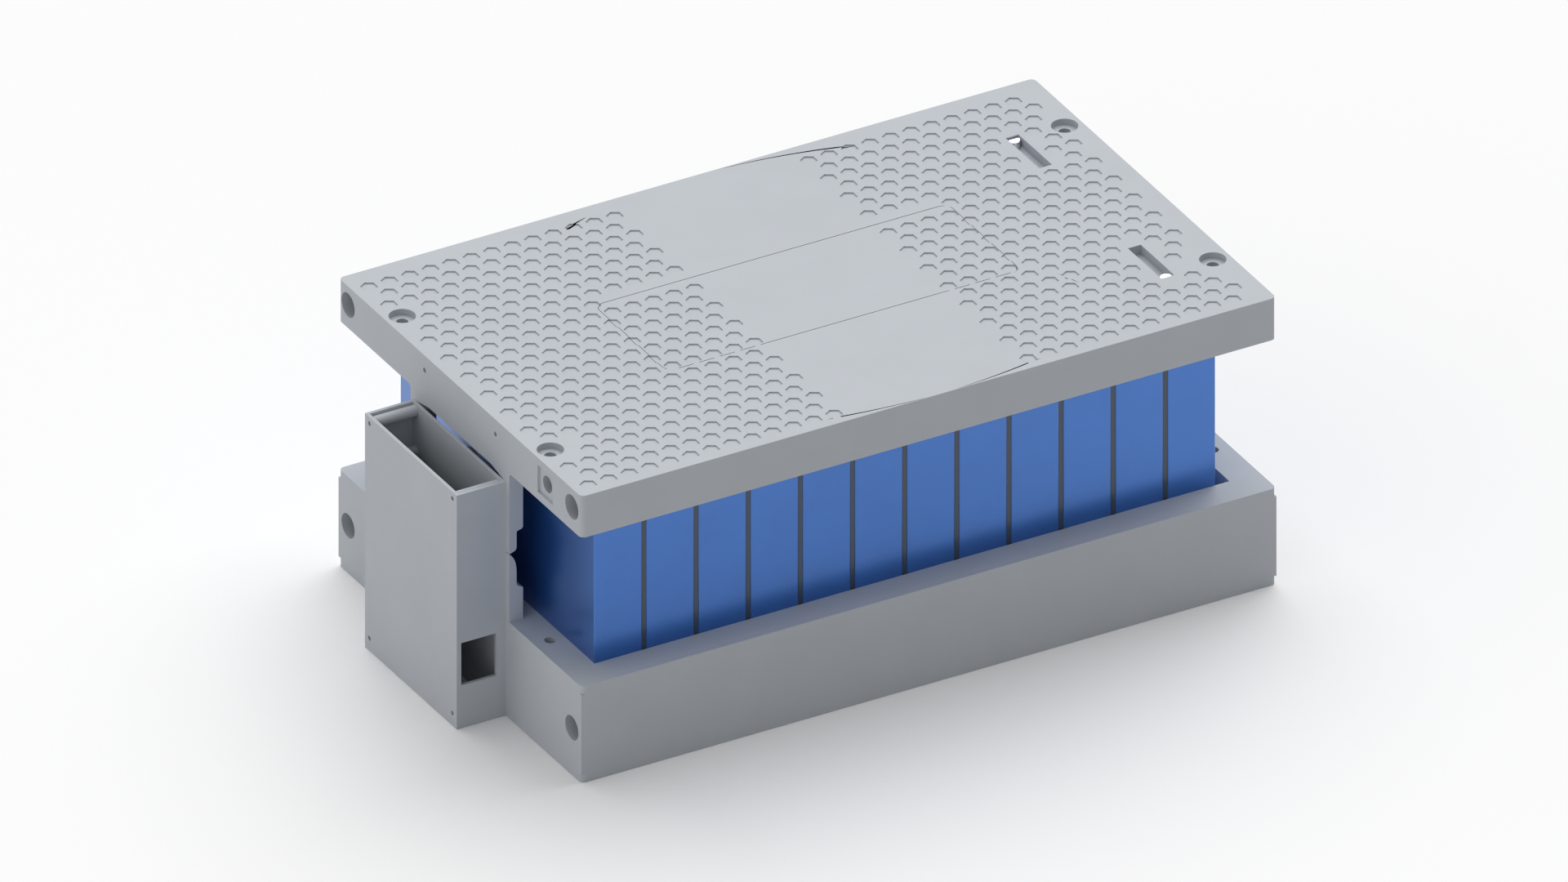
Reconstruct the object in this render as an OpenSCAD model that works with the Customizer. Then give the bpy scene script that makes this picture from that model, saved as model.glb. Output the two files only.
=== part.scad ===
// Battery pack of 24 prismatic lithium iron phosphate cells, in two rows of twelve.
// The cells stand in a printed tray, and a printed cover lies on their tops.
// An open-topped box for the protection circuit is fixed to the left end.
// Lengths are in millimetres. Modules are drawn from the tray's front left bottom corner.

/* [Cells] */
// Thickness of one cell, along the pack
cell_t = 36.35; // [30:0.05:45]
// Width of one cell, across the pack
cell_w = 130.3; // [120:0.1:150]
// Height of a cell's can, without its terminals
cell_h = 195.5; // [180:0.5:220]
// Corner radius of the wrapped can
cell_r = 1; // [0.5:0.1:3]
// Thickness of the board between two cells
spacer_t = 3.24; // [2:0.02:5]
// Thickness of the sheet between the two rows
divider_t = 1; // [0.5:0.1:3]
// Distance between the two terminals of a cell
terminal_pitch = 67; // [62:1:76]
// Diameter of a terminal pad
terminal_d = 18; // [12:1:20]
// Height of a terminal pad
terminal_h = 2.5; // [1.5:0.5:3]
// Thread diameter of a terminal stud
stud_d = 6; // [5:1:8]

/* [Tray] */
// Height of the tray
tray_h = 73.8; // [60:0.1:90]
// Width of the rim round the cells
rim_w = 22.8; // [21.5:0.1:30]
// Thickness of the tray's floor
floor_t = 5; // [3:0.5:8]
// Free space between the last cells and the right wall
end_gap = 10.56; // [6:0.02:20]
// Free space between the back row and the back wall
back_gap = 19.8; // [6:0.1:25]
// Height of the low part of the tray that locates the cells
locate_h = 25; // [10:1:40]
// Radius of the rounded vertical corners
corner_r = 4; // [2:0.5:6]
// Height over which the tray's corners are rounded, at its top and at its foot
corner_h = 6.4; // [4:0.1:12]
// Diameter of the holes for the long rods
rod_d = 17.8; // [12:0.1:18]
// Distance of the rods from the long sides
rod_inset = 12.9; // [11:0.1:13]
// Height of the lower rods
rod_z = 36.2; // [25:0.1:50]
// Clearance round a cell where it is located
fit = 0.3; // [0.1:0.05:0.8]

/* [Cover] */
// Height of the cover at its edge
cover_h = 32; // [28:0.5:40]
// Thickness of the cover's top skin
skin_t = 5; // [4:0.5:6]
// Length of the cell that the cover's edge hides
cover_lap = 12.3; // [10:0.1:16]
// Diameter of the clamp bolts' holes
bolt_d = 8.2; // [6.4:0.1:10.5]
// Diameter of the counterbores over the clamp bolts
bolt_head_d = 18.3; // [14:0.1:20]
// Depth of the counterbores
bolt_head_h = 4.5; // [3:0.5:8]
// Distance of the clamp bolts from the ends
bolt_end = 12.4; // [11:0.1:14]
// Distance of the clamp bolts from the long sides
bolt_side = 63.8; // [40:0.1:90]
// Height of the upper rods above the cover's underside
rod_up = 17.7; // [12:0.1:18]
// Width of a rib under the cover
rib_t = 4; // [2:0.5:6]
// Length of the access panel
panel_l = 268.2; // [200:0.2:300]
// Width of the access panel
panel_w = 98; // [70:1:104]
// Thickness of the access panel
panel_t = 3; // [2:0.25:3.5]
// Corner radius of the access panel
panel_r = 7; // [3:0.5:12]
// Width of the seam round the access panel
seam = 0.5; // [0.3:0.05:1]
// Width of the ledge that carries the access panel
ledge_w = 6; // [4:0.5:10]

/* [Pockets] */
// Circumradius of a hexagonal pocket
hex_r = 6; // [4:0.1:6.5]
// Depth of a pocket
hex_h = 1; // [0.6:0.1:2]
// Distance between pockets along a row
hex_pitch = 15.56; // [14:0.02:20]
// Distance between rows of pockets
hex_rows = 13.423; // [12:0.001:18]
// Distance of the first pocket from the left end
hex_start_x = 12.05; // [11:0.05:16]
// Distance of the first row from the front
hex_start_y = 11.9; // [11:0.1:16]
// Length of the bare band between the two fields of pockets
bare_l = 135.1; // [60:0.1:200]
// How far the bare band lies to the right of the middle
bare_shift = 8.5; // [0:0.5:30]

/* [Slots and studs] */
// Width of a cable slot in the cover
slot_w = 9.8; // [9:0.1:14]
// Length of a cable slot
slot_l = 45; // [30:1:60]
// Depth of a cable slot
slot_h = 7; // [5:0.5:8]
// Distance of the slots from the right end
slot_end = 49.4; // [44:0.1:56]
// Distance of the slots' middles from the long sides
slot_side = 81.2; // [75:0.1:90]
// Diameter of an output stud
output_d = 9; // [6:1:9]
// How far an output stud's top lies below the cover's top
output_drop = 1; // [0.5:0.1:3]

/* [Circuit box] */
// Length of the box, along the pack
box_l = 37.3; // [32:0.1:60]
// Width of the box
box_w = 123.6; // [110:0.2:130]
// Height of the box
box_h = 179.5; // [170:0.5:180]
// Thickness of the box's walls
box_t = 2.4; // [1.6:0.2:3.6]
// Diameter of a screw boss in the box
boss_d = 8; // [6:0.5:10]
// Diameter of the screw holes in the box
box_screw_d = 3.4; // [2.5:0.1:4.5]
// Distance of the upper screws from the box's top
screw_down = 5; // [4.5:0.5:8]
// Height of the lower screws above the ground
screw_up = 9.5; // [8.5:0.5:14]
// Distance of the screws from the box's long ends
screw_in = 6; // [5.8:0.1:9]
// Width of the cable window in the box's side
window_l = 26.7; // [15:0.1:27]
// Height of the cable window
window_h = 32.7; // [15:0.1:45]
// Height of the cable window's lower edge
window_z = 32.6; // [20:0.1:60]

/* [End lugs] */
// Half the width of the two lugs between tray and cover at the left end
lug_out = 66.5; // [64:0.5:80]
// Thickness of a lug at its root
lug_t = 10.4; // [8:0.1:14]
// Thickness of a lug where its inner side is cut back
lug_thin = 5.5; // [4:0.1:7]
// Height of the lower lug above the rim
lug_h = 51.8; // [40:0.2:60]
// Gap between the two lugs at the end face
lug_gap = 0.5; // [0.2:0.1:1]

/* [Port] */
// Side of the square recess in the cover's left end
port_s = 20.6; // [16:0.1:24]
// Depth of the square recess
port_h = 1.8; // [1:0.1:3]
// Diameter of the hole in the recess
port_d = 12.2; // [8:0.1:14]
// Distance of the recess from the front
port_y = 48.7; // [34:0.1:52]

/* [Hidden] */
$fn = 64;

// Cells in one row, and their pitch along the pack
row_count = 12;
cell_step = cell_t + spacer_t;
block_l = row_count * cell_step - spacer_t;
block_w = 2 * cell_w + divider_t;
pack_l = 2 * rim_w + block_l + end_gap;
pack_w = 2 * rim_w + block_w + back_gap;

// Levels, from the ground up
cell_top = floor_t + cell_h;
cover_z = cell_top - cover_lap;
cover_top = cover_z + cover_h;
skin_z = cover_top - skin_t;
link_z = cell_top + terminal_h;
link_t = 2;
nut_z = link_z + link_t;
nut_h = 4;
nut_d = 11.5;
stud_over = 0.4;
stud_top = nut_z + nut_h + stud_over;

// Places in plan
row_y = [rim_w, rim_w + cell_w + divider_t];
slot_x = pack_l - slot_end;
slot_y = [slot_side, pack_w - slot_side];
output_y = [slot_side - slot_l / 2 + output_d / 4, pack_w - slot_side + slot_l / 2 - output_d / 4];
bolt_x = [bolt_end, pack_l - bolt_end];
bolt_y = [bolt_side, pack_w - bolt_side];
rod_y = [rod_inset, pack_w - rod_inset];
mid_y = pack_w / 2;
panel_x0 = (pack_l - panel_l) / 2;
panel_y0 = (pack_w - panel_w) / 2;
bare_x = pack_l / 2 + bare_shift;
screw_out = box_w / 2 - screw_in;
eps = 0.01;

// Colours of the real materials
grey_print = [0.75, 0.77, 0.80];
blue_wrap = [0.29, 0.43, 0.69];
board_grey = [0.27, 0.30, 0.34];

// Outline of a plate with rounded corners, from its own corner
module rounded_rect(l, w, r) {
  translate([r, 0]) square([l - 2 * r, w]);
  translate([0, r]) square([l, w - 2 * r]);
  for (x = [r, l - r], y = [r, w - r]) translate([x, y]) circle(r = r);
}

module plate(l, w, h, r) {
  linear_extrude(h) rounded_rect(l, w, r);
}

// A hole along the pack, open at both ends
module hole_x(d, x0, l, y, z) {
  translate([x0, y, z]) rotate([0, 90, 0]) cylinder(h = l, d = d);
}

// The frame of the whole part: its origin is the middle of the tray's underside
module placed() {
  translate([-pack_l / 2, -pack_w / 2, 0]) children();
}

// The opening round the cells, with the same outline in the tray and in the cover
module block_opening(z, h) {
  translate([rim_w, rim_w, z]) cube([block_l + end_gap, block_w + back_gap, h]);
}

// Side view of the lower lug: a root on the rim, a cut-back side and a round tip.
// Points run from the end face inward, with heights above the rim.
lug_step = 24.2;
lug_slope = 3.7;
slope_mid = [1.3, 1.9];
tip_h = 14.6;
tip_far = 2;
lug_arc = lug_thin + tip_far;
function tip_z(x) = lug_h - tip_h + tip_h * sqrt(1 - pow((x + tip_far) / lug_arc, 2))
  + tip_h * (1 - sqrt(1 - pow(tip_far / lug_arc, 2)));
lower_lug = concat(
  [[0, -eps], [lug_t, -eps], [lug_t, lug_step]],
  [[lug_thin, lug_step] + slope_mid, [lug_thin, lug_step + lug_slope]],
  [for (a = [0:10:70]) [lug_arc * cos(a) - tip_far, tip_z(lug_arc * cos(a) - tip_far)]],
  [[0, tip_z(0)]]
);

// Side view of the upper lug, with heights measured down from the cover's underside
upper_root = 45;
root_edge = 1;
upper_mid = [0.7, -0.8];
upper_slope = 1.6;
upper_end = cover_z - tray_h - tip_z(0) - lug_gap;
upper_tip_r = 3;
upper_tip_rise = 1;
upper_lug = concat(
  [[0, eps], [lug_t, eps], [lug_t, -upper_root + root_edge], [lug_t - root_edge, -upper_root]],
  [[lug_thin, -upper_root] + upper_mid, [lug_thin, -upper_root - upper_slope]],
  [for (a = [0:-15:-75]) [
    lug_thin - upper_tip_r + upper_tip_r * cos(a),
    -upper_end + upper_tip_rise + upper_tip_r + upper_tip_r * sin(a)
  ]],
  [[0, -upper_end]]
);

// One end lug, as its side view drawn across the end
module lug(side_view, z) {
  translate([0, mid_y + lug_out, z]) rotate([90, 0, 0])
    linear_extrude(2 * lug_out) polygon(side_view);
}

module tray() {
  color(grey_print) placed() difference() {
    union() {
      plate(pack_l, pack_w, corner_h, corner_r);
      translate([0, 0, corner_h]) cube([pack_l, pack_w, tray_h - 2 * corner_h]);
      translate([0, 0, tray_h - corner_h]) plate(pack_l, pack_w, corner_h, corner_r);
      lug(lower_lug, tray_h);
    }
    translate([rim_w, rim_w, floor_t]) cube([block_l + fit, block_w + fit, locate_h + eps]);
    block_opening(floor_t + locate_h, tray_h);
    for (y = rod_y) hole_x(rod_d, -eps, pack_l + 2 * eps, y, rod_z);
    for (x = bolt_x, y = bolt_y) clamp_hole(x, y);
    for (s = [-1, 1]) hole_x(pilot_d, -eps, pilot_h, mid_y + s * screw_out, screw_up);
  }
}

// Pilot holes for the box's screws
pilot_d = 2.8;
pilot_h = 12;

// A clamp bolt's hole in the tray, with a hexagonal pocket for its nut below
nut_flats = 13.2;
nut_pocket_h = 8;
module clamp_hole(x, y) {
  translate([x, y, -eps]) cylinder(h = tray_h + 2 * eps, d = bolt_d);
  translate([x, y, -eps]) cylinder(h = nut_pocket_h, d = nut_flats / cos(30), $fn = 6);
}

// Is there a pocket at this place? It is left out near a bolt, a slot or the panel's long seams.
bolt_clear = 16.7;
slot_clear = 8;
seam_clear = 3;
function near_bolt(x, y) =
  len([for (bx = bolt_x, by = bolt_y) if (norm([x - bx, y - by]) < bolt_clear) 1]) > 0;
function near_slot(x, y) = abs(x - slot_x) < slot_w / 2 + slot_clear
  && len([for (sy = slot_y) if (abs(y - sy) < slot_l / 2 + slot_clear) 1]) > 0;
function on_long_seam(x, y) = abs(abs(y - mid_y) - panel_w / 2) < seam_clear
  && abs(x - pack_l / 2) < panel_l / 2;
function pocket_here(x, y) = !near_bolt(x, y) && !near_slot(x, y) && !on_long_seam(x, y);

// The pockets of one field, from its first pocket to its last column
pocket_margin = 11;
right_start_x = bare_x + bare_l / 2 + hex_r;
module pocket_field(x0, x1) {
  for (row = [0:floor((pack_w - pocket_margin - hex_start_y) / hex_rows)]) {
    y = hex_start_y + row * hex_rows;
    first = x0 + (row % 2) * hex_pitch / 2;
    for (x = [first:hex_pitch:x1]) {
      if (pocket_here(x, y)) translate([x, y]) rotate(30) circle(r = hex_r, $fn = 6);
    }
  }
}

module pockets() {
  translate([0, 0, cover_top - hex_h]) linear_extrude(hex_h + eps) {
    pocket_field(hex_start_x, bare_x - bare_l / 2 - hex_r + eps);
    pocket_field(right_start_x, pack_l - pocket_margin);
  }
}

// Outline of a feather-shaped groove along an arc. t runs from its thin end to its blunt tip.
function feather_w(t, w) = w * min(0.15 + 0.85 * t, (1 - t) * 9);
function arc_point(cx, cy, r, a) = [cx + r * sin(a), cy + r * cos(a)];
module feather(cx, cy, r, a0, a1, w, steps = 14) {
  outer = [for (i = [0:steps]) arc_point(cx, cy, r, a0 + (a1 - a0) * i / steps)];
  inner = [for (i = [steps - 1:-1:1]) let (t = i / steps)
    arc_point(cx, cy, r - feather_w(t, w), a0 + (a1 - a0) * t)];
  translate([0, 0, cover_top - groove_h]) linear_extrude(groove_h + eps)
    polygon(concat(outer, inner));
}

// Arched relief grooves that graze the long edges, and one short groove in the right field
// Each groove starts at an angle from its arc's middle and ends where the arch ends.
groove_h = 2.4;
edge_skip = 0.3;
to_front = 180;
front_r = 447;
front_start = [1.3, -1.6];
front_half = 10.5;
front_w = 1.4;
back_r = 368;
back_start = [2.5, -14.4];
back_half = 17.5;
back_w = [1.8, 2.4];
module relief_grooves() {
  front_y = front_r + edge_skip;
  back_y = pack_w - edge_skip - back_r;
  feather(bare_x, front_y, front_r, to_front + front_start[0], to_front + front_half, front_w);
  feather(bare_x, front_y, front_r, to_front + front_start[1], to_front - front_half, front_w);
  feather(bare_x, back_y, back_r, back_start[0], back_half, back_w[0]);
  feather(bare_x, back_y, back_r, back_start[1], -back_half, back_w[1]);
  short_groove();
}

short_from = [152.8, -64.8];
short_to = [160.2, -84];
short_bulge = 0.9;
module short_groove() {
  from = [pack_l / 2, mid_y] + short_from;
  to = [pack_l / 2, mid_y] + short_to;
  side = [from.y - to.y, to.x - from.x] / norm(to - from) * short_bulge;
  translate([0, 0, cover_top - groove_h]) linear_extrude(groove_h + eps)
    polygon([from, (from + to) / 2 + side, to, (from + to) / 2 - side / 3]);
}

// Cable slots in the top skin, each with the hole that its stud is pushed up into
module cable_slots() {
  for (i = [0, 1]) {
    translate([slot_x - slot_w / 2, slot_y[i] - slot_l / 2, cover_top - slot_h])
      cube([slot_w, slot_l, slot_h + eps]);
    translate([slot_x, output_y[i], cover_z]) cylinder(h = cover_h - output_drop, d = output_d + fit);
  }
}

// Thick pads under the slots
pad_wall = 4.4;
pad_floor = 2.2;
pad_drop = slot_h - skin_t + pad_floor;
module slot_pads() {
  for (i = [0, 1])
    translate([slot_x - slot_w / 2 - pad_wall, slot_y[i] - slot_l / 2 - pad_wall, skin_z - pad_drop])
      cube([slot_w + 2 * pad_wall, slot_l + 2 * pad_wall, pad_drop + eps]);
}

// Ribs that carry the cover on the cells, on both sides of each row's vents
rib_off = 20;
row_mid = [row_y[0] + cell_w / 2, row_y[1] + cell_w / 2];
rib_l = (row_count - 1) * cell_step - spacer_t;
module ribs() {
  for (y = row_mid, side = [-1, 1])
    translate([rim_w - eps, y + side * rib_off - rib_t / 2, cell_top])
      cube([rib_l, rib_t, skin_z - cell_top + eps]);
}

// Cable windows through the upper lug, with pointed upper ends and a round-topped saddle between
window_half = 50;
window_low = 38.2;
window_top = 5.2;
window_tip = 8.5;
tip_top = 3.2;
tip_foot = 5.5;
saddle_r = 16;
saddle_low = 34.2;
module lug_windows() {
  translate([-eps, mid_y, cover_z]) rotate([90, 0, 90]) linear_extrude(lug_t + 2 * eps) difference() {
    polygon([
      [-window_half, -window_low], [window_half, -window_low], [window_half, -window_top - tip_foot],
      [window_half + window_tip, -window_top - tip_top], [window_half - window_tip, -window_top],
      [-window_half + window_tip, -window_top], [-window_half - window_tip, -window_top - tip_top],
      [-window_half, -window_top - tip_foot]
    ]);
    translate([0, -saddle_low]) circle(r = saddle_r);
    translate([-saddle_r, -window_low]) square([2 * saddle_r, window_low - saddle_low]);
  }
}

// Coves where the upper lug's ends meet the cover's underside
cove_r = 3;
module lug_coves() {
  for (s = [-1, 1])
    translate([0, mid_y + s * lug_out, cover_z - cove_r]) difference() {
      translate([0, s > 0 ? -eps : -cove_r, 0]) cube([lug_t, cove_r + eps, cove_r + eps]);
      translate([-eps, s * cove_r, 0]) rotate([0, 90, 0]) cylinder(h = lug_t + 2 * eps, r = cove_r);
    }
}

// The square recess and its round hole in the left end
module port() {
  port_z = cover_z + cover_h / 2;
  translate([-eps, port_y - port_s / 2, port_z - port_s / 2]) cube([port_h + eps, port_s, port_s]);
  hole_x(port_d, 0, rim_w + eps, port_y, port_z);
}

// Two small pilot holes in the left end, above the circuit box
end_pilot_d = 3.6;
lug_skin = 2;
end_pilot_out = 47.6;
end_pilot_down = 11.4;
module end_pilots() {
  for (s = [-1, 1])
    hole_x(end_pilot_d, -eps, pilot_h, mid_y + s * end_pilot_out, cover_top - end_pilot_down);
  for (s = [-1, 1])
    hole_x(pilot_d, -eps, lug_t - lug_skin, mid_y + s * screw_out, box_h - screw_down);
}

module cover() {
  color(grey_print) placed() difference() {
    union() {
      difference() {
        translate([0, 0, cover_z]) plate(pack_l, pack_w, cover_h, corner_r);
        block_opening(cover_z - eps, skin_z - cover_z + eps);
      }
      ribs();
      slot_pads();
      lug(upper_lug, cover_z);
      lug_coves();
    }
    translate([panel_x0 - seam, panel_y0 - seam, cover_top - panel_t])
      plate(panel_l + 2 * seam, panel_w + 2 * seam, panel_t + eps, panel_r + seam);
    translate([panel_x0 + ledge_w, panel_y0 + ledge_w, cover_z])
      cube([panel_l - 2 * ledge_w, panel_w - 2 * ledge_w, cover_h]);
    pockets();
    relief_grooves();
    cable_slots();
    for (x = bolt_x, y = bolt_y) {
      translate([x, y, cover_z - eps]) cylinder(h = cover_h, d = bolt_d);
      translate([x, y, cover_top - bolt_head_h]) cylinder(h = bolt_head_h + eps, d = bolt_head_d);
    }
    for (y = rod_y) hole_x(rod_d, -eps, pack_l + 2 * eps, y, cover_z + rod_up);
    lug_windows();
    port();
    end_pilots();
  }
}

module access_panel() {
  color(grey_print) placed() difference() {
    translate([panel_x0, panel_y0, cover_top - panel_t]) plate(panel_l, panel_w, panel_t, panel_r);
    pockets();
  }
}

// One cell stands on the tray's floor: a wrapped can with two studded terminals and a vent
vent_d = 16;
vent_h = 0.6;
module cell(index) {
  row = floor(index / row_count);
  place = index % row_count;
  x = rim_w + place * cell_step;
  color(blue_wrap) placed() translate([x, row_y[row], floor_t]) difference() {
    union() {
      plate(cell_t, cell_w, cell_h, cell_r);
      for (s = [-1, 1]) translate([cell_t / 2, cell_w / 2 + s * terminal_pitch / 2, cell_h - eps]) {
        cylinder(h = terminal_h + eps, d = terminal_d);
        cylinder(h = stud_top - cell_top, d = stud_d);
      }
    }
    translate([cell_t / 2, cell_w / 2, cell_h - vent_h]) cylinder(h = vent_h + eps, d = vent_d);
  }
}

// A board between neighbouring cells of a row, just behind their faces
spacer_back = 0.6;
spacer_drop = 0.5;
module spacer(index) {
  row = floor(index / (row_count - 1));
  place = index % (row_count - 1) + 1;
  x = rim_w + place * cell_step - spacer_t;
  color(board_grey) placed() translate([x, row_y[row] + spacer_back, floor_t])
    cube([spacer_t, cell_w - 2 * spacer_back, cell_h - spacer_drop]);
}

// A flat link with round ends and two holes, from one terminal to another
link_w = 16;
stud_fit = 0.4;
module link(from, to) {
  run = norm(to - from);
  turn = atan2(to.y - from.y, to.x - from.x);
  translate([from.x, from.y, link_z]) rotate(turn) difference() {
    union() {
      translate([0, -link_w / 2, 0]) cube([run, link_w, link_t]);
      for (x = [0, run]) translate([x, 0, 0]) cylinder(h = link_t, d = link_w);
    }
    for (x = [0, run]) translate([x, 0, -eps]) cylinder(h = link_t + 2 * eps, d = stud_d + stud_fit);
  }
}

// Strips of sheet between the two rows, one for each pair of cells
module row_divider() {
  color(board_grey) placed() for (i = [0:row_count - 1])
    translate([rim_w + i * cell_step, rim_w + cell_w, floor_t])
      cube([cell_t, divider_t, cell_h - spacer_drop]);
}

// Middle of a terminal: place along the row, row, and side (0 front, 1 back)
function terminal(place, row, side) = [
  rim_w + place * cell_step + cell_t / 2,
  row_y[row] + cell_w / 2 + (side - 0.5) * terminal_pitch
];

// All cells are in series: the links alternate sides, and one joins the rows at the left end
module busbars() {
  color("silver") placed() {
    for (row = [0, 1], place = [0:row_count - 2]) {
      side = (place + 1 + row) % 2;
      link(terminal(place, row, 1 - side), terminal(place + 1, row, 1 - side));
    }
    link(terminal(0, 0, 1), terminal(0, 1, 0));
  }
}

module terminal_nuts() {
  color("silver") placed() for (row = [0, 1], place = [0:row_count - 1], side = [0, 1]) {
    at = terminal(place, row, side);
    translate([at.x, at.y, nut_z]) difference() {
      cylinder(h = nut_h, d = nut_d, $fn = 6);
      translate([0, 0, -eps]) cylinder(h = nut_h + 2 * eps, d = stud_d + stud_fit / 2);
    }
  }
}

// An output stud is pushed up through its pad, and its flange bears on the pad from below
flange_h = 1.2;
flange_d = output_d + 5;
stud_dome_h = 0.5;
module output_stud(row) {
  flange_z = skin_z - pad_drop - flange_h;
  stud_l = cover_top - output_drop - fit - flange_z;
  color("gainsboro") placed() translate([slot_x, output_y[row], flange_z]) {
    cylinder(h = flange_h, d = flange_d);
    cylinder(h = stud_l - stud_dome_h, d = output_d);
    translate([0, 0, stud_l - stud_dome_h])
      cylinder(h = stud_dome_h, d1 = output_d, d2 = output_d - 2 * stud_dome_h);
  }
}

// Inside of the circuit box
floor_box_t = 3;
standoff_d = 7;
standoff_l = 10;
standoff_end = 1;
board_low = 78;
board_high = 144;
module box_bosses() {
  for (s = [-1, 1], z = [screw_up, box_h - screw_down])
    hole_x(boss_d, -box_l + eps, box_l - 2 * eps, mid_y + s * screw_out, z);
  for (s = [-1, 1], z = [board_low, board_high])
    hole_x(standoff_d, -box_t - standoff_l, standoff_l + eps, mid_y + s * screw_out, z);
}

module circuit_box() {
  inner_l = box_l - 2 * box_t;
  inner_w = box_w - 2 * box_t;
  color(grey_print) placed() difference() {
    union() {
      difference() {
        translate([-box_l, mid_y - box_w / 2, 0]) cube([box_l, box_w, box_h]);
        translate([-box_l + box_t, mid_y - inner_w / 2, floor_box_t]) cube([inner_l, inner_w, box_h]);
      }
      box_bosses();
    }
    for (s = [-1, 1], z = [screw_up, box_h - screw_down])
      hole_x(box_screw_d, -box_l - eps, box_l + 2 * eps, mid_y + s * screw_out, z);
    for (s = [-1, 1], z = [board_low, board_high])
      hole_x(board_core_d, -box_t - standoff_l - eps, standoff_l - standoff_end, mid_y + s * screw_out, z);
    translate([-box_l + window_wall, mid_y - box_w / 2 - eps, window_z])
      cube([window_l, box_t + 2 * eps, window_h]);
  }
}
window_wall = 3.4;

// The protection circuit's board on its four standoffs
board_screw_d = 3;
board_core_d = 2.5;
board_t = 1.6;
board_edge = 4;
board_gap = 0.2;
board_x = -box_t - standoff_l - board_t;
module circuit_board() {
  board_w = box_w - 2 * box_t - 2 * board_gap;
  color("darkgreen") placed() difference() {
    translate([board_x, mid_y - board_w / 2, board_low - board_edge])
      cube([board_t, board_w, board_high - board_low + 2 * board_edge]);
    for (s = [-1, 1], z = [board_low, board_high])
      hole_x(board_screw_d + fit, board_x - eps, board_t + 2 * eps, mid_y + s * screw_out, z);
  }
}

// A finned heat sink on the board, with its fins upright
sink_w = 84;
sink_h = 52;
sink_l = 15;
sink_base = 4;
fin_t = 2;
fin_step = 8.2;
module heat_sink() {
  z0 = (board_low + board_high - sink_h) / 2;
  color("dimgray") placed() translate([board_x, mid_y - sink_w / 2, z0]) {
    translate([-sink_base, 0, 0]) cube([sink_base, sink_w, sink_h]);
    for (y = [0:fin_step:sink_w - fin_t])
      translate([-sink_l, y, 0]) cube([sink_l - sink_base + eps, fin_t, sink_h]);
  }
}

// Pan-head screws that hold the board on its standoffs
screw_head_d = 5.6;
screw_head_h = 2.2;
screw_l = 8;
module board_screws() {
  color("silver") placed() for (s = [-1, 1], z = [board_low, board_high]) {
    hole_x(screw_head_d, board_x - screw_head_h, screw_head_h, mid_y + s * screw_out, z);
    hole_x(board_core_d, board_x - eps, screw_l, mid_y + s * screw_out, z);
  }
}

tray();
cover();
access_panel();
circuit_box();
circuit_board();
heat_sink();
board_screws();
busbars();
terminal_nuts();
row_divider();
output_stud(0);  // output_stud_front
output_stud(1);  // output_stud_back
cell(0);  // cell_01
cell(1);  // cell_02
cell(2);  // cell_03
cell(3);  // cell_04
cell(4);  // cell_05
cell(5);  // cell_06
cell(6);  // cell_07
cell(7);  // cell_08
cell(8);  // cell_09
cell(9);  // cell_10
cell(10);  // cell_11
cell(11);  // cell_12
cell(12);  // cell_13
cell(13);  // cell_14
cell(14);  // cell_15
cell(15);  // cell_16
cell(16);  // cell_17
cell(17);  // cell_18
cell(18);  // cell_19
cell(19);  // cell_20
cell(20);  // cell_21
cell(21);  // cell_22
cell(22);  // cell_23
cell(23);  // cell_24
spacer(0);  // spacer_01
spacer(1);  // spacer_02
spacer(2);  // spacer_03
spacer(3);  // spacer_04
spacer(4);  // spacer_05
spacer(5);  // spacer_06
spacer(6);  // spacer_07
spacer(7);  // spacer_08
spacer(8);  // spacer_09
spacer(9);  // spacer_10
spacer(10);  // spacer_11
spacer(11);  // spacer_12
spacer(12);  // spacer_13
spacer(13);  // spacer_14
spacer(14);  // spacer_15
spacer(15);  // spacer_16
spacer(16);  // spacer_17
spacer(17);  // spacer_18
spacer(18);  // spacer_19
spacer(19);  // spacer_20
spacer(20);  // spacer_21
spacer(21);  // spacer_22
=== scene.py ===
import bpy
from mathutils import Matrix, Vector


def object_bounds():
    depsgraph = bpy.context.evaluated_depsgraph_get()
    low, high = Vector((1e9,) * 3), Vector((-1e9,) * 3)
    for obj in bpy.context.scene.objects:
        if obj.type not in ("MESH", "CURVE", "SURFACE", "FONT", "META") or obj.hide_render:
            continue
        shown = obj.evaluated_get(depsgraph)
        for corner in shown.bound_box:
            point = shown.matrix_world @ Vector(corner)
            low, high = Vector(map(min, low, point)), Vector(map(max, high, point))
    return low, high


# The whole battery pack, as its solids give it: tray, cover, cells, circuit box and what
# joins them. Its box is kept, so that what is added here can be held to the same size.
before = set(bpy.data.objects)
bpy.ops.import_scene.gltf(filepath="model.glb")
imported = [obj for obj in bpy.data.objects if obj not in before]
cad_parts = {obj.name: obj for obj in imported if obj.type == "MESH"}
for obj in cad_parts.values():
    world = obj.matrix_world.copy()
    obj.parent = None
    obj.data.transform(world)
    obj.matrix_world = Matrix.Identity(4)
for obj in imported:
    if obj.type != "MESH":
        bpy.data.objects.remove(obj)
solid_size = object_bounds()
scene = bpy.context.scene


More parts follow.
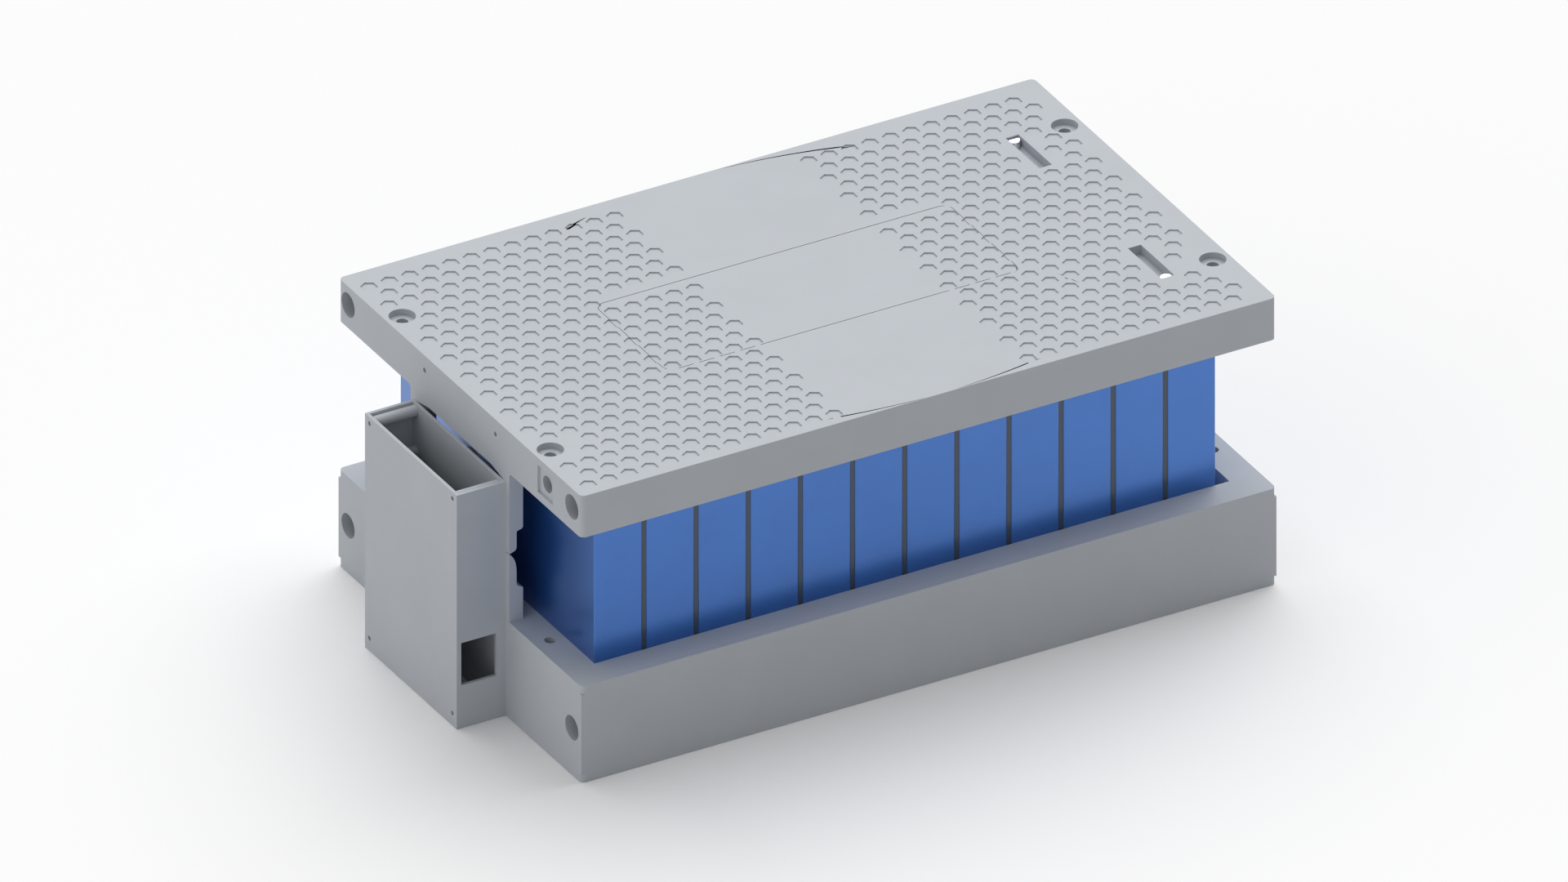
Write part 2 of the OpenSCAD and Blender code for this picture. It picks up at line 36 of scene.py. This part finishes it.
# The view of the photograph: a camera without perspective, high at the front left, that
# looks along the pack's front row and down on its cover.
right = Vector((0.8710, -0.4914, 0.0))
ahead = Vector((0.4230, 0.7497, -0.5090)).normalized()
up = right.cross(ahead).normalized()
middle_of_picture = Vector((-0.0905, -0.1289, 0.1950))
camera_distance = 3.0
camera = bpy.data.objects.new("photograph_camera", bpy.data.cameras.new("photograph_camera"))
camera.data.type = "ORTHO"
camera.data.ortho_scale = 1.0374
camera.data.clip_end = 20.0
turn = Matrix((right, up, -ahead)).transposed()
camera_place = middle_of_picture - camera_distance * ahead
camera.matrix_world = Matrix.Translation(camera_place) @ turn.to_4x4()
scene.collection.objects.link(camera)
scene.camera = camera


# The printed parts: tray, cover, access panel and circuit box, of light grey PETG drawn in
# layers by a printer. They are screwed and bolted together, and have no paint.
def linear(hex_colour):
    """An sRGB hex colour as the linear colour that a shader takes."""
    parts = [int(hex_colour[i:i + 2], 16) / 255 for i in (1, 3, 5)]
    light = [c / 12.92 if c <= 0.04045 else ((c + 0.055) / 1.055) ** 2.4 for c in parts]
    return (*light, 1.0)


def add_node(material, kind, *by_place, **settings):
    """Adds a shader node. What comes by place goes to its sockets in their order. A setting
    is a property, or a socket's name. A socket takes a value or a link."""
    node = material.node_tree.nodes.new("ShaderNode" + kind)
    by_name = {}
    for name, value in settings.items():
        if hasattr(node, name):
            setattr(node, name, value)
        else:
            by_name[name.replace("_", " ")] = value
    sockets = [socket for socket in node.inputs if socket.enabled]
    named = [(next(s for s in sockets if s.name == name), by_name[name]) for name in by_name]
    for socket, value in [*zip(sockets, by_place), *named]:
        if isinstance(value, bpy.types.NodeSocket):
            material.node_tree.links.new(value, socket)
        else:
            socket.default_value = value
    return node


def finish_of(name, **surface):
    """A new material with one Principled shader, which takes these values."""
    material = bpy.data.materials.new(name)
    material.use_nodes = True
    shader = material.node_tree.nodes["Principled BSDF"]
    for socket, value in surface.items():
        shader.inputs[socket.replace("_", " ")].default_value = value
    return material, shader


def join(material, shader, socket, output):
    """Links a pattern's output to one socket of the shader."""
    material.node_tree.links.new(output, shader.inputs[socket])


def dress(node_name, material):
    """Gives a solid of the pack its material, in place of the ones it had."""
    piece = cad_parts[node_name]
    piece.data.materials.clear()
    piece.data.materials.append(material)
    return piece


# Printed PETG, matt: layers of 0.25 mm give the walls a faint grain, drawn as 1 mm so that
# it shows, and the melt's slow changes give the grey a hardly visible cloudiness.
printed_grey = "#BABFC5"
printed_grey_low = "#B7BCC2"
layer_seen = 0.001
grain_seen = 0.0012
cloud_size = 0.040
wave_turn = 6.2832 / 20
printed, shader = finish_of("PETG_printed_matt", Roughness=0.62, IOR=1.57,
                            Specular_IOR_Level=0.35)
place = add_node(printed, "TexCoord").outputs["Object"]
clouds = add_node(printed, "TexNoise", Vector=place, Scale=1 / cloud_size, Detail=3.0,
                  Roughness=0.5)
grey = add_node(printed, "ValToRGB", Fac=clouds.outputs["Fac"])
grey.color_ramp.elements[0].position = 0.3
grey.color_ramp.elements[0].color = linear(printed_grey_low)
grey.color_ramp.elements[1].position = 0.7
grey.color_ramp.elements[1].color = linear(printed_grey)
join(printed, shader, "Base Color", grey.outputs["Color"])
layers = add_node(printed, "TexWave", wave_type="BANDS", bands_direction="Z", Vector=place,
                  Scale=wave_turn / layer_seen, Distortion=0.4, Detail=1.0)
grain = add_node(printed, "TexNoise", Vector=place, Scale=1 / grain_seen, Detail=2.0)
relief = add_node(printed, "Mix", data_type="FLOAT", Factor=0.5, A=layers.outputs["Fac"],
                  B=grain.outputs["Fac"])
bump = add_node(printed, "Bump", Strength=0.05, Distance=0.0002,
                Height=relief.outputs["Result"])
join(printed, shader, "Normal", bump.outputs["Normal"])
for name in ("tray", "cover", "circuit_box"):
    dress(name, printed)
dress("access_panel", printed)

# The same print, rough and matt, with painted shade: the faces in the narrow grooves and on
# the walls of the access panel's long seams get a dark grey, so they draw crisp dark lines on
# the pale cover.
painted_groove_shade, shader = finish_of("PETG_printed_painted_groove_shade", Roughness=0.9, Specular_IOR_Level=0.1)
shader.inputs["Base Color"].default_value = linear("#2C3035")
cover_top = solid_size[1][2]
groove_depth = 0.0024
seam_depth = 0.0030
depth_slack = 0.0001
seam_half_length = 0.1341
seam_side = 0.0490
seam_slack = 0.001
facing_side = 0.9


def is_painted_shade(corners, normal):
    """Whether a face of the cover or the panel lies in a groove or on a long seam's wall,
    where the shade is painted.
    """
    depth = cover_top - min(corner.z for corner in corners)
    if abs(depth - groove_depth) < depth_slack:
        return True
    in_seam = all(abs(abs(corner.y) - seam_side) < seam_slack
                  and abs(corner.x) < seam_half_length for corner in corners)
    return in_seam and abs(normal.y) > facing_side and depth < seam_depth + depth_slack


# Each face in a groove or on a seam's wall takes the second material, the painted shade.
for name in ("cover", "access_panel"):
    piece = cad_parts[name]
    piece.data.materials.append(painted_groove_shade)
    for face in piece.data.polygons:
        corners = [piece.matrix_world @ piece.data.vertices[i].co for i in face.vertices]
        if is_painted_shade(corners, face.normal):
            face.material_index = len(piece.data.materials) - 1


# The 24 cells: drawn aluminium cans in a clear blue heat-shrunk film, standing in two rows.
# The can shines through the film, so it looks like blue metal and mirrors what is before it.
cell_count = 24
film_blue = "#286BBE"
film_deep = "#2768B9"
pull_size = 0.030
ripple_size = 0.012
film, shader = finish_of("PET_film_shrunk_blue", Metallic=0.85, Roughness=0.36,
                         Coat_Weight=1.0, Coat_IOR=1.57, Coat_Roughness=0.28)
place = add_node(film, "TexCoord").outputs["Object"]
pull = add_node(film, "TexNoise", Vector=place, Scale=1 / pull_size, Detail=2.0)
blue = add_node(film, "ValToRGB", Fac=pull.outputs["Fac"])
blue.color_ramp.elements[0].position = 0.35
blue.color_ramp.elements[0].color = linear(film_deep)
blue.color_ramp.elements[1].position = 0.65
blue.color_ramp.elements[1].color = linear(film_blue)
join(film, shader, "Base Color", blue.outputs["Color"])
ripples = add_node(film, "TexNoise", Vector=place, Scale=1 / ripple_size, Detail=2.0)
bump = add_node(film, "Bump", Strength=0.05, Distance=0.0003, Height=ripples.outputs["Fac"])
join(film, shader, "Normal", bump.outputs["Normal"])
for number in range(1, cell_count + 1):
    dress(f"cell_{number:02d}", film)


# The boards between neighbouring cells of a row, and the thin sheet between the rows: glass
# epoxy, sawn to size and clamped by the cells. Its edges are dull dark lines in the blue.
board_count = 22
fibre_size = 0.0015
board, shader = finish_of("glass_epoxy_sheet_grey", Roughness=0.3, Specular_IOR_Level=0.6,
                          Coat_Weight=0.3)
place = add_node(board, "TexCoord").outputs["Object"]
fibres = add_node(board, "TexNoise", Vector=place, Scale=1 / fibre_size, Detail=3.0)
tone = add_node(board, "ValToRGB", Fac=fibres.outputs["Fac"])
tone.color_ramp.elements[0].color = linear("#2A384B")
tone.color_ramp.elements[1].color = linear("#304054")
join(board, shader, "Base Color", tone.outputs["Color"])
for number in range(1, board_count + 1):
    dress(f"spacer_{number:02d}", board)
dress("row_divider", board)


# The links between the cells' terminals: sheared from aluminium strip and held by nuts on
# the cells' studs. They lie under the cover. The rolls leave a soft, slightly mixed sheen.
rolled_size = 0.002
strip, shader = finish_of("aluminium_strip_rolled", Metallic=1.0, Roughness=0.38)
place = add_node(strip, "TexCoord").outputs["Object"]
rolled = add_node(strip, "TexNoise", Vector=place, Scale=1 / rolled_size, Detail=3.0)
tone = add_node(strip, "ValToRGB", Fac=rolled.outputs["Fac"])
tone.color_ramp.elements[0].color = linear("#C4C5C7")
tone.color_ramp.elements[1].color = linear("#D8D9DB")
join(strip, shader, "Base Color", tone.outputs["Color"])
dress("busbars", strip)


# Nuts on the cells' studs and the screws of the circuit board: zinc-plated steel, pressed
# and rolled. The zinc's fine crystals make it bright and slightly blue.
crystal_size = 0.001
plated, shader = finish_of("steel_zinc_plated", Metallic=1.0, Roughness=0.3)
place = add_node(plated, "TexCoord").outputs["Object"]
crystals = add_node(plated, "TexNoise", Vector=place, Scale=1 / crystal_size, Detail=2.0)
tone = add_node(plated, "ValToRGB", Fac=crystals.outputs["Fac"])
tone.color_ramp.elements[0].color = linear("#B9BCC2")
tone.color_ramp.elements[1].color = linear("#CFD2D8")
join(plated, shader, "Base Color", tone.outputs["Color"])
for name in ("terminal_nuts", "board_screws"):
    dress(name, plated)


# The two output studs: turned steel, upright in the outer ends of the cover's slots. The
# tool leaves a ring every 0.35 mm, and they look almost white under the soft light.
rings_scale = 900.0
turned, shader = finish_of("steel_turned_bright", Metallic=1.0, Roughness=0.12)
place = add_node(turned, "TexCoord").outputs["Object"]
marks = add_node(turned, "TexWave", wave_type="RINGS", rings_direction="Z", Vector=place,
                 Scale=rings_scale)
tone = add_node(turned, "ValToRGB", Fac=marks.outputs["Fac"])
tone.color_ramp.elements[0].color = linear("#E2E4EE")
tone.color_ramp.elements[1].color = linear("#EEF0F8")
join(turned, shader, "Base Color", tone.outputs["Color"])
for name in ("output_stud_front", "output_stud_back"):
    dress(name, turned)


# The protection circuit's board in the box: glass epoxy, screwed to four standoffs. The
# green solder mask is smooth, and the glass weave below makes it a little uneven.
weave_size = 0.002
mask, shader = finish_of("solder_mask_green", Roughness=0.35)
place = add_node(mask, "TexCoord").outputs["Object"]
weave = add_node(mask, "TexNoise", Vector=place, Scale=1 / weave_size, Detail=2.0)
tone = add_node(mask, "ValToRGB", Fac=weave.outputs["Fac"])
tone.color_ramp.elements[0].color = linear("#1C4A2C")
tone.color_ramp.elements[1].color = linear("#245A37")
join(mask, shader, "Base Color", tone.outputs["Color"])
dress("circuit_board", mask)


# The circuit's finned heat sink, which lies on the board: extruded aluminium, etched and
# anodised black-grey, which leaves it a dull metallic sheen.
etched_size = 0.001
anodised, shader = finish_of("aluminium_anodised_grey", Metallic=0.8, Roughness=0.45)
place = add_node(anodised, "TexCoord").outputs["Object"]
etched = add_node(anodised, "TexNoise", Vector=place, Scale=1 / etched_size, Detail=2.0)
tone = add_node(anodised, "ValToRGB", Fac=etched.outputs["Fac"])
tone.color_ramp.elements[0].color = linear("#3C3E42")
tone.color_ramp.elements[1].color = linear("#4A4C51")
join(anodised, shader, "Base Color", tone.outputs["Color"])
dress("heat_sink", anodised)


# The studio: a pale paper floor, a hair below the pack, that looks white behind it and keeps
# its soft shadow. Camera and gloss see it white; on other pieces it throws a softer light.
floor_reach = 6.0
floor_drop = 0.0002
floor_mesh = bpy.data.meshes.new("studio_floor")
floor_corners = [(-floor_reach, -floor_reach, 0), (floor_reach, -floor_reach, 0),
                 (floor_reach, floor_reach, 0), (-floor_reach, floor_reach, 0)]
floor_mesh.from_pydata(floor_corners, [], [(0, 1, 2, 3)])
floor = bpy.data.objects.new("studio_floor", floor_mesh)
floor.location.z = -floor_drop
scene.collection.objects.link(floor)
paper, shader = finish_of("paper_backdrop_white", Roughness=1.0, Specular_IOR_Level=0.0)
ray = add_node(paper, "LightPath").outputs
seen = add_node(paper, "Math", ray["Is Camera Ray"], ray["Is Glossy Ray"],
                operation="MAXIMUM")
shade = add_node(paper, "Mix", data_type="RGBA", Factor=seen.outputs["Value"],
                 A=linear("#E6E6E6"), B=linear("#FFFFFF"))
shade_colour = next(output for output in shade.outputs if output.enabled)
join(paper, shader, "Base Color", shade_colour)
floor_mesh.materials.append(paper)

# The sky: plain white where camera and gloss see it. Its light on the pack is stronger from
# the left, as from a row of windows there, and weak from the other sides.
sky_left = 0.86
sky_elsewhere = 0.20
world = bpy.data.worlds.new("studio_sky")
scene.world = world
world.use_nodes = True
sky = world.node_tree.nodes["Background"]
sky.inputs["Color"].default_value = (1, 1, 1, 1)
ray = add_node(world, "LightPath").outputs
mirrored = add_node(world, "Math", ray["Is Camera Ray"], ray["Is Glossy Ray"],
                    operation="MAXIMUM")
towards = add_node(world, "TexCoord").outputs["Generated"]
along = add_node(world, "SeparateXYZ", Vector=towards).outputs["X"]
left_side = add_node(world, "MapRange", Value=along, From_Min=-1.0, From_Max=0.0,
                     To_Min=sky_left, To_Max=sky_elsewhere)
shown = add_node(world, "Math", mirrored.outputs["Value"], left_side.outputs["Result"],
                 operation="MAXIMUM")
join(world, sky, "Strength", shown.outputs["Value"])

# The lamp: one very wide light, high at the back right, so that its shadows have no edge.
lamp_towards = Vector((0.36, 0.38, 0.85))
lamp_data = bpy.data.lights.new("wide_lamp", "SUN")
lamp_data.energy = 2.35
lamp_data.angle = 1.3
lamp = bpy.data.objects.new("wide_lamp", lamp_data)
lamp.rotation_euler = lamp_towards.to_track_quat("Z", "Y").to_euler()
scene.collection.objects.link(lamp)
scene.view_settings.view_transform = "Standard"
